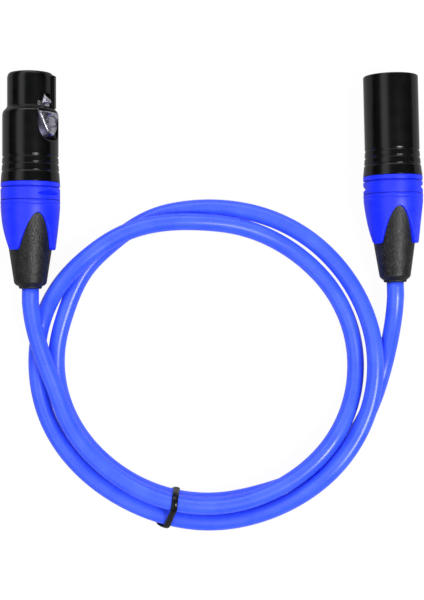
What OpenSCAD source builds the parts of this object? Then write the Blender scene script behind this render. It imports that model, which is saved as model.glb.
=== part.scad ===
// Microphone cable with a female and a male three-pole round connector, coiled and tied.
// Millimetres. The part lies on z = 0, the noses point along +Y, and the origin is on the
// surface midway between the two connectors.

/* [Cable] */
// Outer diameter of the cable jacket
cable_d = 6; // [5.6:0.1:6]
// Clear gap between strands that lie beside or on each other
strand_gap = 0.5; // [0.45:0.05:0.8]
// Diameter of each insulated core
core_d = 1.6; // [1.2:0.1:1.6]
// Width of the flat oval tie about the coil
tie_w = 2.2; // [1.6:0.1:2.6]
// Thickness of the tie
tie_t = 1.1; // [0.9:0.1:1.4]

/* [Layout] */
// Distance between the two connectors
axis_spacing = 127.1; // [125:0.1:130]
// Distance of the coil's centre behind the middle of the connectors
coil_back = 64.75; // [64:0.05:68]
// Mean radius of the coil
coil_r = 55.2; // [54:0.1:57]
// How much the coil's radius grows sideways and shrinks lengthwise
coil_oval = 2.1; // [1.5:0.1:2.5]
// How far the male connector lies turned
male_lean = 1.35; // [0:0.05:2]
// How far forward of the origin the seam of the male connector lies
male_seam_y = 1.65; // [0.5:0.05:3]

/* [Boot] */
// Length of boot and coding ring together, from the shell to the tail's mouth
boot_len = 37.1; // [36.5:0.1:39]
// Outer diameter of the collar and of both shells at their seam
collar_d = 20.8; // [20.6:0.1:22]
// Length of the coding ring
ring_len = 6.2; // [6:0.1:7]
// Depth of the coding ring's V notches
ring_notch = 1.2; // [1:0.1:1.6]
// Outer diameter of the collar's threaded spigot
spigot_d = 15.2; // [15:0.1:15.3]
// Bore of the spigot, which goes round the chuck
spigot_bore = 12.4; // [12.3:0.1:12.8]
// How far the spigot reaches into the shell
spigot_reach = 6.1; // [5.6:0.1:6.1]
// Distance from the seam back to the tips of the three tongues
tongue_end = 23.6; // [22:0.1:25]
// Radius of each tongue's outer face at its tip
tongue_r = 8.75; // [8.6:0.05:9.2]
// Distance from the seam back to the rounded end of each V between the tongues
vee_start = 10.8; // [10.5:0.1:12]
// Half width of each V one millimetre behind its rounded end
vee_open = 1.62; // [1.4:0.01:1.8]
// Radius of the corners at the tongues' tips
tip_r = 1; // [0.6:0.1:1.2]
// Radius of the rubber tail at its front
tail_front_r = 9.4; // [9.2:0.05:9.5]
// Radius of the rubber tail at its back
tail_back_r = 5.55; // [5:0.05:6]
// Radius of the lip at the tail's mouth
lip_r = 4; // [3.9:0.1:4.6]
// Length of the lip
lip_len = 1.2; // [0.8:0.1:2]

/* [Chuck] */
// Outer diameter of the chuck's fingers
chuck_d = 11.8; // [11:0.1:11.8]
// Outer diameter of the chuck's flange
chuck_flange_d = 15.1; // [14.8:0.1:15.2]
// Length of the chuck's flange
chuck_flange = 2.6; // [2:0.1:2.6]
// Distance from the seam back to the end of the chuck's straight fingers
chuck_straight = 8; // [7:0.5:9]
// Length of the chuck's cone
chuck_cone = 4; // [3:0.5:5]
// Width of the slots between the chuck's fingers
chuck_slot = 1; // [0.6:0.1:1.4]

/* [Female shell] */
// Outer diameter of the female shell's body
body_d = 19.6; // [19.2:0.1:20.2]
// Length of the female shell's body
body_len = 26; // [25.6:0.1:27]
// Outer diameter of the nose
nose_d = 16.2; // [16.1:0.05:16.2]
// Length of the nose
nose_len = 12.4; // [12.2:0.1:14]
// Width of the guide rib on the nose
rib_w = 2.3; // [1.8:0.1:2.4]
// Height of the guide rib above the nose
rib_h = 0.9; // [0.6:0.05:0.9]
// Angle from the middle of the latch to the guide rib
rib_angle = 23; // [22:1:28]
// Angle of the latch from straight up, towards the male connector
latch_angle = 58; // [0:1:66]

/* [Male shell] */
// Outer diameter of the male shell
shell_d = 19.1; // [18.9:0.1:19.4]
// Length of the male shell
shell_len = 35.1; // [34.6:0.1:37]
// Depth of the open mating cavity
cavity_depth = 14.3; // [13.8:0.1:14.4]

/* [Contacts] */
// Diameter of the male pins
pin_d = 2.4; // [2.3:0.05:2.4]
// Diameter of the circle that the contacts lie on
contact_circle_d = 7.4; // [7.2:0.1:7.6]
// Angle of contacts 1 and 2 above the middle line
contact_rise = 15; // [10:1:20]
// Length of the pins in front of their insert
pin_len = 12.8; // [12:0.1:13]
// Depth of the socket bores
socket_depth = 12; // [11:0.1:12.4]
// Outer diameter of the socket contacts
socket_d = 3.5; // [3.3:0.1:3.6]

/* [Latch] */
// Width of the thumb tab at its front edge
tab_w = 10.6; // [9.6:0.1:10.8]
// Length of the thumb tab
tab_len = 8.2; // [7.8:0.1:8.6]
// Diameter of the round dimple in the tab
dimple_d = 4.5; // [4:0.1:5]
// Width of the crossbar in front of the tab
crossbar_w = 8.2; // [7:0.1:8.4]
// Width of the hook
hook_w = 3.8; // [3.4:0.1:4]
// How far the hook's middle lies beside the middle of the tab
hook_side = 1.2; // [1:0.1:1.3]
// How far the hook stands out of the nose
hook_h = 0.9; // [0.7:0.05:1]
// Diameter of the pin that the latch turns on
latch_pin_d = 1.2; // [1:0.1:1.3]

/* [Clearances] */
// Radial clearance of a piece seated in its bore, and of the collar's thread
fit_gap = 0.08; // [0.06:0.01:0.1]
// Radial clearance of a contact or pin in its hole
pin_gap = 0.05; // [0.03:0.01:0.07]
// Gap between pieces that move past each other
free_gap = 0.3; // [0.25:0.05:0.35]

/* [Hidden] */
$fn = 64;

// Finishes
shell_black = [0.06, 0.06, 0.065];
plastic_black = [0.10, 0.10, 0.10];
rubber_black = [0.17, 0.17, 0.17];
cable_blue = [0.25, 0.33, 1.0];
boot_blue = [0.15, 0.18, 0.98];
chuck_grey = [0.75, 0.75, 0.72];
latch_chrome = [0.72, 0.71, 0.78];
contact_gold = [0.83, 0.66, 0.30];
steel = [0.62, 0.63, 0.65];
copper = [0.80, 0.45, 0.25];

// Places
cable_r = cable_d / 2;
axis_z = collar_d / 2;
female_len = body_len + nose_len;
female_at = [-axis_spacing / 2, (boot_len - female_len) / 2, axis_z];
male_at = [axis_spacing / 2, male_seam_y, axis_z];

// Shell and insert
bore_r = spigot_d / 2 + fit_gap;
insert_r = spigot_d / 2;
nose_wall = 1;
nose_bore_r = nose_d / 2 - nose_wall;
nose_insert_r = nose_bore_r - pin_gap;
cavity_r = nose_d / 2 + 0.15;
shoulder_y = body_len - 3.6;
nose_start_y = body_len - 2.4;
flare_len = 9;
flare_bend = 1.45;
seam_inset = 0.05;
face_gap = 0.03;
skirt_r = insert_r - 1;
skirt_y = 9;
groove_depth = 0.22;
groove_pitch = 2.5;
rim_r = 1.4;
rib_back = 0.9;

// Contacts: places in the female insert, as [x, z] with the key at the top, and in the male
// insert, which faces it
contact_r = contact_circle_d / 2;
contact_at = [
  [-contact_r * cos(contact_rise), contact_r * sin(contact_rise)],
  [contact_r * cos(contact_rise), contact_r * sin(contact_rise)],
  [0, -contact_r]
];
pin_at = [for (c = contact_at) [-c[0], c[1]]];
clip_w = 2.4;
clip_t = 0.5;
clip_len = 10;
clip_back = 2;
clip_gap = 0.1;
cup_d = 2.6;
cup_bore_d = core_d + 0.2;
cup_len = 3;
flange_t = 1;
insert_front_y = female_len - 0.6;
socket_back = 10;
socket_back_y = body_len - socket_back;
socket_lip = 1;
male_floor_y = shell_len - cavity_depth;
pin_back = 7.3;
pin_back_y = male_floor_y - pin_back;
shank_r = pin_d / 2 + 0.2;
jacket_end_y = 3;
core_spread = core_d * 0.6;

// Latch: y along the connector, z outwards, in the frame with the latch on top
pivot_z = 6.9;
hub_r = 1;
hub_half = 2.8;
root_half = 2.4;
step_y = body_len + 0.3;
tab_front_y = body_len - 1.8;
pivot_back = 7.6;
pivot_y = tab_front_y - pivot_back;
tab_r = body_d / 2 + 0.1;
tab_inner_r = insert_r + 0.45;
dimple_at = [0.4, tab_front_y - 3.4];
dimple_depth = 0.35;
pocket_gap = 0.4;
pocket_y = tab_front_y - tab_len - 1.6;
pocket_z = 5.2;
channel_z = 4.3;
arm_z = 5.6;
arm_t = 1;
arm_half = 1.9;
hook_y = step_y + 1;
hook_front_y = step_y + 4.1;
crossbar_y = step_y;
crossbar_len = 1.7;
rib_y = crossbar_y + crossbar_len + 0.3;
spring_back = 5;
spring_y = tab_front_y - spring_back;
spring_d = 3.2;
spring_wire = 0.4;
spring_turns = 3;

// Boot
web_y = -13.5;
sleeve_y = -9.8;
web_r = 8.2;
female_vee_angle = 21.5;
male_vee_angle = 5;
female_notch_angle = 48.5;
male_notch_angle = 90;
bead_len = 1.3;

// Cable: how the coil winds, as [turn angle, value] stations that the route passes level
coil_at = [-2, -coil_back];
first_angle = 195;
last_angle = 1065;
coil_step = 15;
lane = (cable_d + strand_gap) / 6.5;
level = cable_d + strand_gap;
lane_stations = [
  [195, -4.1], [228, -4.7], [275, -3.6], [315, -4.2], [360, -3.8], [400, -3.8], [445, -2.7],
  [490, 1.0], [525, 3.4], [550, 3], [597, 1.9], [640, 3.1], [675, 2.3], [725, 2.5], [780, 3.4],
  [825, 2.8], [855, -0.4], [884, -3.6], [950, -5.1], [1005, -4.4], [1075, 3.9]
];
layer_stations = [
  [195, 1], [322, 1], [362, 0], [405, 0], [470, 1], [500, 1], [529, 0],
  [640, 0], [684, 1], [722, 1], [760, 0], [1065, 0]
];
tie_angle = 256.5;
tie_gap = 0.15;
lift_spread = 40;
lift = tie_t + tie_gap;
tie_slant = 3;
straight = 5;
lead_end = cable_d;

// Free leads: points chosen between the straight run at the tail's mouth and the coil
female_lead_points = [
  [-63.1, -48, 10.4], [-61.6, -54, 10.4], [-59.8, -60, 10.1], [-57.6, -66.3, 9.8]
];
male_lead_points = [
  [64.4, -45, 9.8], [63.9, -50, 8.4], [63.2, -55.5, 6.3], [62.2, -61.5, 4.4], [60.8, -67.5, 3.3]
];

// ---- helpers ----

function smooth(t) = t <= 0 ? 0 : t >= 1 ? 1 : t * t * (3 - 2 * t);
function unit(v) = v / norm(v);

// Value of a curve that passes each [angle, value] station level
function eased(s, a, i = 0) =
  i < len(s) - 2 && a >= s[i + 1][0]
    ? eased(s, a, i + 1)
    : s[i][1] + (s[i + 1][1] - s[i][1]) * smooth((a - s[i][0]) / (s[i + 1][0] - s[i][0]));

// The coil's route: radius, height and point at a turn angle
function tie_offset(a) = abs((a - tie_angle + 180) % 360 - 180);
function lifted(a) = lift * smooth(1 - tie_offset(a) / lift_spread);
function route_r(a) = coil_r + coil_oval * cos(2 * a) + lane * eased(lane_stations, a);
function route_z(a) = cable_r + level * eased(layer_stations, a) + lifted(a);
function route(a) = [
  coil_at[0] + route_r(a) * cos(a),
  coil_at[1] + route_r(a) * sin(a),
  route_z(a)
];
function heading(a) = unit(route(a + 0.5) - route(a - 0.5));

// Tube swept along points: ref is a direction that the route never follows, and flat is the
// share of r that the section has square to ref
function tangent(p, i) = unit(p[min(i + 1, len(p) - 1)] - p[max(i - 1, 0)]);
function ring(c, t, ref, r, n, flat = 1) =
  let (side = unit(cross(t, ref)), up = cross(side, t))
  [for (k = [0 : n - 1]) c + r * (flat * cos(360 * k / n - 90) * side + sin(360 * k / n - 90) * up)];

module tube(p, r, n, ref = [0, 0, 1]) {
  rings = [for (i = [0 : len(p) - 1]) each ring(p[i], tangent(p, i), ref, r, n)];
  last = (len(p) - 1) * n;
  walls = [
    for (i = [0 : len(p) - 2], k = [0 : n - 1])
      let (a = i * n + k, b = i * n + (k + 1) % n)
      each [[a, b, b + n], [a, b + n, a + n]]
  ];
  front = [for (k = [1 : n - 2]) [0, k + 1, k]];
  back = [for (k = [1 : n - 2]) [last, last + k, last + k + 1]];
  polyhedron(rings, concat(walls, front, back));
}

module closed_tube(p, r, n, ref, flat) {
  m = len(p);
  rings = [
    for (i = [0 : m - 1])
      each ring(p[i], unit(p[(i + 1) % m] - p[(i + m - 1) % m]), ref, r, n, flat)
  ];
  walls = [
    for (i = [0 : m - 1], k = [0 : n - 1])
      let (j = (i + 1) % m, a = i * n + k, b = i * n + (k + 1) % n, c = j * n + (k + 1) % n)
      each [[a, b, c], [a, c, j * n + k]]
  ];
  polyhedron(rings, walls);
}

// Solids of revolution about the connector's axis: points are [radius, y]
module turned(points) {
  rotate([-90, 0, 0])
    rotate_extrude()
      polygon(points);
}

module rod(r, y0, y1) {
  translate([0, y0, 0])
    rotate([-90, 0, 0])
      cylinder(r = r, h = y1 - y0);
}

// Block between two corners
module block(low, high) {
  translate(low)
    cube(high - low);
}

module at_female() {
  translate(female_at)
    children();
}

module at_female_key() {
  translate(female_at)
    rotate([0, latch_angle, 0])
      children();
}

module at_male() {
  translate(male_at)
    rotate([0, 0, male_lean])
      children();
}

// Outer radius of a shell's flared back, at y in front of the seam, where its body has radius r
function flare(r, y) = r + (axis_z - seam_inset - r) * pow(1 - y / flare_len, flare_bend);
function flare_points(r) = [for (k = [0 : 8]) let (y = flare_len * k / 8) [flare(r, y), y]];

// Three fine V grooves turned about the flared back
module back_grooves(body_r) {
  for (k = [0 : 2])
    let (y = flare_len - 0.1 - k * groove_pitch, r = flare(body_r, y))
    turned([[r + 2, y - 1], [r - groove_depth, y], [r + 2, y + 1]]);
}

// ---- female connector ----

// The shell's body, up to where its nose begins
module female_housing() {
  r = body_d / 2;
  color(shell_black)
    at_female()
      difference() {
        turned(concat(
          flare_points(r),
          [[r, nose_start_y], [nose_bore_r, nose_start_y], [nose_bore_r, shoulder_y]],
          [[bore_r, shoulder_y], [bore_r, 0]]
        ));
        back_grooves(r);
        rotate([0, latch_angle, 0]) {
          tab_pocket();
          rotate([0, 90, 0])
            translate([-pivot_z, pivot_y, -latch_pin_half()])
              cylinder(d = latch_pin_d, h = 2 * latch_pin_half());
        }
      }
}

// The shell's nose, with its step, its windows for the latch and its guide rib
module female_nose_shell() {
  r = body_d / 2;
  n = nose_d / 2;
  color(shell_black)
    at_female() {
      difference() {
        turned(concat(
          [[nose_bore_r, nose_start_y], [r, nose_start_y], [r - 0.2, body_len - 1.2]],
          [[n + 0.3, step_y - 0.2], [n + 0.3, step_y], [n, step_y + 0.2]],
          [for (k = [0 : 4]) [n - rim_r + rim_r * cos(k * 18), female_len - rim_r + rim_r * sin(k * 18)]],
          [[nose_bore_r, female_len]]
        ));
        rotate([0, latch_angle, 0]) {
          tab_pocket();
          latch_windows();
        }
      }
      rotate([0, latch_angle + rib_angle, 0])
        block([-rib_w / 2, rib_y, n - nose_wall / 2], [rib_w / 2, female_len - rib_back, n + rib_h]);
    }
}

function latch_pin_half() = tab_w / 2 + 0.6;

module tab_pocket() {
  half = tab_w / 2 + pocket_gap;
  front = tab_front_y + pocket_gap;
  long = front - pocket_y;
  translate([0, 0, pocket_z])
    linear_extrude(axis_z)
      polygon([
        for (k = [0 : 24])
          let (t = cos(k * 7.5), s = sin(k * 7.5))
          [half * sign(t) * pow(abs(t), 2 / 3), front - long * pow(s, 2 / 3)]
      ]);
}

// Window for the crossbar and slot for the hook
module latch_windows() {
  block(
    [-crossbar_w / 2 - free_gap, crossbar_y - free_gap, arm_z],
    [crossbar_w / 2 + free_gap, crossbar_y + crossbar_len + free_gap, axis_z]
  );
  block(
    [-hook_side - hook_w / 2 - free_gap, crossbar_y, arm_z],
    [-hook_side + hook_w / 2 + free_gap, hook_front_y + free_gap + 0.1, axis_z]
  );
}

module female_insert() {
  color(plastic_black)
    at_female_key()
      difference() {
        union() {
          rod(nose_insert_r, shoulder_y - 0.5, insert_front_y);
          rod(insert_r, skirt_y, shoulder_y);
        }
        rod(skirt_r, skirt_y - 1, socket_back_y);
        for (c = contact_at)
          translate([c[0], 0, c[1]]) {
            rod(socket_d / 2 + pin_gap, socket_back_y - 1, insert_front_y - socket_lip);
            rod(pin_d / 2 + 2 * pin_gap, socket_back_y, insert_front_y + 1);
          }
        block(
          [-crossbar_w / 2 - 2 * free_gap, pocket_y, channel_z],
          [crossbar_w / 2 + 2 * free_gap, hook_front_y + 2 * free_gap, axis_z]
        );
        block(
          [-clip_w / 2 - clip_gap, shoulder_y + clip_back - clip_gap, -axis_z],
          [clip_w / 2 + clip_gap, shoulder_y + clip_back + clip_len + clip_gap, clip_gap + clip_t - nose_insert_r]
        );
      }
}

module socket_contact(i) {
  color(contact_gold)
    at_female_key()
      translate([contact_at[i][0], 0, contact_at[i][1]])
        difference() {
          union() {
            rod(socket_d / 2, socket_back_y - 0.5, insert_front_y - socket_lip);
            rod(socket_d / 2 + 0.35, socket_back_y - flange_t, socket_back_y);
            rod(cup_d / 2, socket_back_y - flange_t - cup_len, socket_back_y - 0.5);
          }
          rod(pin_d / 2 + pin_gap, insert_front_y - socket_lip - socket_depth, insert_front_y);
          rod(cup_bore_d / 2, socket_back_y - flange_t - cup_len - 1, socket_back_y - flange_t - 0.4);
        }
}

module female_contact_1() {
  socket_contact(0);
}

module female_contact_2() {
  socket_contact(1);
}

module female_contact_3() {
  socket_contact(2);
}

// Outline of the thumb tab: a straight front edge and a parabola behind it
function tab_outline() = [
  for (k = [-8 : 8]) [tab_w / 2 * k / 8, tab_front_y - tab_len + tab_len * pow(k / 8, 2)]
];

module latch_lever() {
  color(latch_chrome)
    at_female_key()
      difference() {
        union() {
          intersection() {
            linear_extrude(axis_z + 1)
              polygon(tab_outline());
            difference() {
              rod(tab_r, tab_front_y - tab_len - 1, tab_front_y + 1);
              rod(tab_inner_r, tab_front_y - tab_len - 2, tab_front_y + 2);
            }
          }
          block([-root_half, pivot_y, arm_z + arm_t], [root_half, tab_front_y - 0.2, tab_inner_r + 0.3]);
          block([-root_half, tab_front_y - 2.2, arm_z], [root_half, tab_front_y - 0.2, tab_inner_r]);
          block([-arm_half, tab_front_y - 2.2, arm_z], [arm_half, crossbar_y + crossbar_len, arm_z + arm_t]);
          intersection() {
            block([-crossbar_w / 2, crossbar_y, 0], [crossbar_w / 2, crossbar_y + crossbar_len, axis_z]);
            difference() {
              rod(nose_d / 2 - 0.3, crossbar_y - 1, crossbar_y + crossbar_len + 1);
              rod(nose_insert_r - 0.15, crossbar_y - 2, crossbar_y + crossbar_len + 2);
            }
          }
          hook();
          translate([-hub_half, pivot_y, pivot_z])
            rotate([0, 90, 0])
              cylinder(r = hub_r, h = 2 * hub_half);
        }
        translate([-hub_half - 1, pivot_y, pivot_z])
          rotate([0, 90, 0])
            cylinder(d = latch_pin_d + 0.06, h = 2 * hub_half + 2);
        translate([dimple_at[0], dimple_at[1], tab_r - dimple_depth])
          cylinder(d = dimple_d, h = 2);
      }
}

// The tooth that catches in the mating shell: a ramp in front, steep behind
module hook() {
  top = nose_d / 2 + hook_h;
  translate([-hook_side - hook_w / 2, 0, 0])
    rotate([90, 0, 90])
      linear_extrude(hook_w)
        polygon([
          [crossbar_y, arm_z], [crossbar_y, nose_d / 2 - 1], [hook_y, nose_d / 2 - 1],
          [hook_y + 0.1, top - 0.3], [hook_y + 0.4, top], [hook_y + 1.1, top],
          [hook_front_y, nose_d / 2 - 0.2], [hook_front_y, arm_z]
        ]);
}

module latch_pin() {
  half = latch_pin_half();
  color(steel)
    at_female_key()
      translate([-half, pivot_y, pivot_z])
        rotate([0, 90, 0])
          cylinder(d = latch_pin_d, h = 2 * half);
}

module latch_spring() {
  low = channel_z + spring_wire / 2 + 0.02;
  high = arm_z + arm_t - spring_wire / 2 - 0.02;
  turn_r = (spring_d - spring_wire) / 2;
  n = 8 * spring_turns;
  color(steel)
    at_female_key()
      tube(
        [
          for (k = [0 : n])
            [turn_r * cos(k * 45), spring_y + turn_r * sin(k * 45), low + (high - low) * smooth(k / n)]
        ],
        spring_wire / 2, 6
      );
}

module female_ground_clip() {
  color(steel)
    at_female_key()
      block(
        [-clip_w / 2, shoulder_y + clip_back, clip_gap - nose_insert_r],
        [clip_w / 2, shoulder_y + clip_back + clip_len, clip_gap + clip_t - nose_insert_r]
      );
}

// ---- male connector ----

module male_housing() {
  r = shell_d / 2;
  color(shell_black)
    at_male()
      difference() {
        turned(concat(
          flare_points(r),
          [[r, shell_len - 0.3], [r - 0.3, shell_len]],
          [[cavity_r + 0.3, shell_len], [cavity_r, shell_len - 0.4], [cavity_r, male_floor_y]],
          [[nose_bore_r, male_floor_y], [nose_bore_r, male_floor_y - 2], [bore_r, male_floor_y - 2]],
          [[bore_r, 0]]
        ));
        back_grooves(r);
        rotate([0, -rib_angle, 0])
          block([-rib_w / 2 - 0.15, male_floor_y + 1, 0], [rib_w / 2 + 0.15, shell_len + 1, r - 0.4]);
        block(
          [hook_side - hook_w / 2 - free_gap, shell_len - (hook_front_y - step_y) - free_gap, 0],
          [hook_side + hook_w / 2 + free_gap, shell_len - (hook_y - step_y) + 0.1, r - 0.4]
        );
      }
}

module male_insert() {
  color(plastic_black)
    at_male()
      difference() {
        union() {
          rod(nose_insert_r, male_floor_y - 2.5, male_floor_y);
          rod(insert_r, skirt_y, male_floor_y - 2);
        }
        rod(skirt_r, skirt_y - 1, pin_back_y);
        for (c = pin_at)
          translate([c[0], 0, c[1]])
            rod(shank_r + pin_gap, pin_back_y - 1, male_floor_y + 1);
        block(
          [-clip_w / 2 - clip_gap, pin_back_y + 1 - clip_gap, -axis_z],
          [clip_w / 2 + clip_gap, male_floor_y - 3 + clip_gap, clip_gap + clip_t - insert_r]
        );
      }
}

module pin_contact(i) {
  r = pin_d / 2;
  tip = male_floor_y + pin_len;
  color(contact_gold)
    at_male()
      translate([pin_at[i][0], 0, pin_at[i][1]])
        difference() {
          union() {
            turned(concat(
              [[0, pin_back_y - 0.5], [shank_r, pin_back_y - 0.5], [shank_r, male_floor_y], [r, male_floor_y]],
              [for (k = [0 : 5]) [r - 0.8 + 0.8 * cos(k * 18), tip - 0.8 + 0.8 * sin(k * 18)]],
              [[0, tip]]
            ));
            rod(socket_d / 2 + 0.15, pin_back_y - flange_t, pin_back_y);
            rod(cup_d / 2, pin_back_y - flange_t - cup_len, pin_back_y - 0.5);
          }
          rod(cup_bore_d / 2, pin_back_y - flange_t - cup_len - 1, pin_back_y - flange_t - 0.4);
        }
}

module pin_contact_1() {
  pin_contact(0);
}

module pin_contact_2() {
  pin_contact(1);
}

module pin_contact_3() {
  pin_contact(2);
}

module male_ground_clip() {
  color(steel)
    at_male()
      block(
        [-clip_w / 2, pin_back_y + 1, clip_gap - insert_r],
        [clip_w / 2, male_floor_y - 3, clip_gap + clip_t - insert_r]
      );
}

// ---- boot, chuck and cable end, the same in both connectors ----

module chuck() {
  r = chuck_d / 2;
  flange_back = skirt_y - chuck_flange;
  bore = cable_r + pin_gap;
  color(chuck_grey)
    difference() {
      turned([
        [bore, -chuck_straight - chuck_cone], [bore + 1.2, -chuck_straight - chuck_cone],
        [r, -chuck_straight], [r, flange_back], [chuck_flange_d / 2, flange_back],
        [chuck_flange_d / 2, skirt_y], [5, skirt_y], [5, jacket_end_y + 0.5], [bore, jacket_end_y + 0.5]
      ]);
      for (a = [0, 90])
        rotate([0, a + 45, 0])
          block([-r - 1, -chuck_straight - chuck_cone - 1, -chuck_slot / 2], [r + 1, 0, chuck_slot / 2]);
    }
}

// Ring between shell and collar, with two V notches opposite each other
module coding_ring(notch_angle) {
  r = axis_z - seam_inset;
  mid = -ring_len + 1.6;
  color(boot_blue)
    difference() {
      turned([[bore_r, face_gap - ring_len], [r, face_gap - ring_len], [r, -face_gap], [bore_r, -face_gap]]);
      turned([[r + 1, -2.6], [r - 0.35, -2.2], [r - 0.35, -2], [r + 1, -1.6]]);
      for (side = [0, 180])
        rotate([0, notch_angle + side, 0])
          translate([-r, mid, r - ring_notch])
            rotate([90, 0, 90])
              linear_extrude(2 * r)
                polygon([[0, 0], [1.1, ring_notch + 0.2], [1.1, 3], [-1.1, 3], [-1.1, ring_notch + 0.2]]);
    }
}

// Radius of the rubber tail at y behind the seam
function tail_r(y) =
  tail_front_r + (tail_back_r - tail_front_r) * (-y - vee_start) / (boot_len - lip_len - vee_start);

// Radius of the collar's outside at y behind the seam
function collar_r(y) =
  axis_z + (tongue_r - axis_z) * pow(max(0, (-y - ring_len - bead_len) / (tongue_end - ring_len - bead_len)), 1.35);

// Outline of one V between two tongues, seen along the radius: a parabola that opens out
// round the corners of the tips
vee_len = tongue_end - vee_start;
function tip_corner(t) = tip_r * (1 - sqrt(max(0, 1 - pow(max(0, t - vee_len + tip_r) / tip_r, 2))));
function vee_half(t) = vee_open * sqrt(t) + tip_corner(t);
vee_side = [
  for (t = [0, 0.1, 0.35, 0.8, 1.6, 3, 5, 8, vee_len - tip_r, vee_len - 0.35 * tip_r, vee_len, vee_len + 3])
    [vee_half(t), -vee_start - t]
];

module boot_collar(vee_angle) {
  tip_y = -tongue_end;
  bead_y = -ring_len - bead_len;
  cone_end_y = -chuck_straight - chuck_cone - free_gap;
  color(boot_blue) {
    difference() {
      turned(concat(
        [[web_r - 0.5, sleeve_y + 0.5], [web_r - 0.5, -ring_len], [axis_z - 0.2, -ring_len]],
        [[axis_z, -ring_len - 0.2], [axis_z, bead_y], [axis_z - 0.2, bead_y - 0.1]],
        [for (k = [1 : 8]) let (y = bead_y + (tip_y - bead_y) * k / 8) [collar_r(y) - 0.02, y]],
        [[tail_r(tip_y) + 0.02, tip_y], [tail_r(sleeve_y) + 0.02, sleeve_y], [web_r - 0.5, sleeve_y]]
      ));
      for (a = [0 : 120 : 359])
        rotate([0, vee_angle + a, 0])
          linear_extrude(axis_z + 1)
            polygon(concat(vee_side, [for (k = [len(vee_side) - 1 : -1 : 1]) [-vee_side[k][0], vee_side[k][1]]]));
    }
    turned([
      [spigot_bore / 2, spigot_reach], [spigot_d / 2 - 0.3, spigot_reach], [spigot_d / 2, spigot_reach - 0.3],
      [spigot_d / 2, -ring_len], [web_r, -ring_len], [web_r, web_y], [cable_r + free_gap, web_y],
      [cable_r + free_gap, cone_end_y], [cable_r + pin_gap + 1.2 + free_gap, cone_end_y],
      [spigot_bore / 2, -chuck_straight - 0.1]
    ]);
  }
}

module boot_tail() {
  end = -boot_len;
  color(rubber_black)
    turned([
      [web_r + 0.02, sleeve_y], [tail_r(sleeve_y), sleeve_y], [tail_r(end + lip_len + 0.8), end + lip_len + 0.8],
      [tail_r(end + lip_len) - 0.5, end + lip_len], [lip_r + 0.4, end + lip_len - 0.1], [lip_r, end + lip_len - 0.5],
      [lip_r, end + 0.3], [lip_r - 0.3, end], [cable_r + free_gap, end],
      [cable_r + free_gap, web_y - 0.02], [web_r + 0.02, web_y - 0.02]
    ]);
}

module cable_end() {
  color(cable_blue)
    rod(cable_r, -boot_len, jacket_end_y);
}

// One core from the jacket's end into its solder cup at [x, z]
module core(to, cup_y) {
  from = core_spread * unit(to);
  bend_y = jacket_end_y + 0.6;
  reach = cup_y - bend_y;
  tube(
    concat(
      [[from[0], jacket_end_y, from[1]]],
      [
        for (k = [0 : 6])
          let (s = smooth(k / 6))
          [from[0] + (to[0] - from[0]) * s, bend_y + reach * k / 6, from[1] + (to[1] - from[1]) * s]
      ],
      [[to[0], cup_y + cup_len - 0.6, to[1]]]
    ),
    core_d / 2, 8
  );
}

module female_chuck() {
  at_female()
    chuck();
}

module female_coding_ring() {
  at_female()
    coding_ring(female_notch_angle);
}

module female_boot_collar() {
  at_female()
    boot_collar(female_vee_angle);
}

module female_boot_tail() {
  at_female()
    boot_tail();
}

module female_cable_end() {
  at_female()
    cable_end();
}

module female_core(i) {
  at_female_key()
    core(contact_at[i], socket_back_y - flange_t - cup_len);
}

module female_core_red() {
  color("red")
    female_core(1);
}

module female_core_white() {
  color("white")
    female_core(2);
}

module female_shield_tail() {
  color(copper)
    female_core(0);
}

module male_chuck() {
  at_male()
    chuck();
}

module male_coding_ring() {
  at_male()
    coding_ring(male_notch_angle);
}

module male_boot_collar() {
  at_male()
    boot_collar(male_vee_angle);
}

module male_boot_tail() {
  at_male()
    boot_tail();
}

module male_cable_end() {
  at_male()
    cable_end();
}

module male_core(i) {
  at_male()
    core(pin_at[i], pin_back_y - flange_t - cup_len);
}

module male_core_red() {
  color("red")
    male_core(1);
}

module male_core_white() {
  color("white")
    male_core(2);
}

module male_shield_tail() {
  color(copper)
    male_core(0);
}

// ---- free cable ----

// Mouths of the two tails, and the direction in which the cable leaves them
female_mouth = female_at + [0, -boot_len, 0];
female_exit = [0, -1, 0];
male_exit = [sin(male_lean), -cos(male_lean), 0];
male_mouth = male_at + boot_len * male_exit;

lead_female_route = concat(
  [female_mouth, female_mouth + straight * female_exit],
  female_lead_points,
  [route(first_angle) - lead_end * heading(first_angle), route(first_angle)]
);
lead_male_route = concat(
  [male_mouth, male_mouth + straight * male_exit],
  male_lead_points,
  [route(last_angle) + lead_end * heading(last_angle), route(last_angle)]
);
coil_route = concat(
  [route(first_angle), route(first_angle) + lead_end * heading(first_angle)],
  [for (a = [first_angle + coil_step : coil_step : last_angle - coil_step]) route(a)],
  [route(last_angle) - lead_end * heading(last_angle), route(last_angle)]
);

module cable_lead_female() {
  color(cable_blue)
    tube(lead_female_route, cable_r, 12);
}

module cable_coil() {
  color(cable_blue)
    tube(coil_route, cable_r, 6);
}

module cable_lead_male() {
  color(cable_blue)
    tube(lead_male_route, cable_r, 12);
}

// The tie runs round the three strands, and leans back along the coil underneath them
tie_strands = [for (k = [0 : 2]) let (a = tie_angle + 360 * k) [route_r(a), route_z(a)]];
function farthest(d, s = tie_strands) =
  let (reach = [for (p = s) p * d])
  s[search(max(reach), reach)[0]];
function slant(f) = tie_slant * (f < 10 ? smooth((10 - f) / 60) : smooth((f - 180) / 120) * smooth((370 - f) / 60));
function tie_point(f) =
  let (
    d = [cos(f), sin(f)],
    p = farthest(d) + (cable_r + tie_gap + tie_t / 2) * d,
    out = [cos(tie_angle), sin(tie_angle)]
  )
  [
    coil_at[0] + p[0] * out[0] + slant(f) * out[1],
    coil_at[1] + p[0] * out[1] - slant(f) * out[0],
    p[1]
  ];

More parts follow.
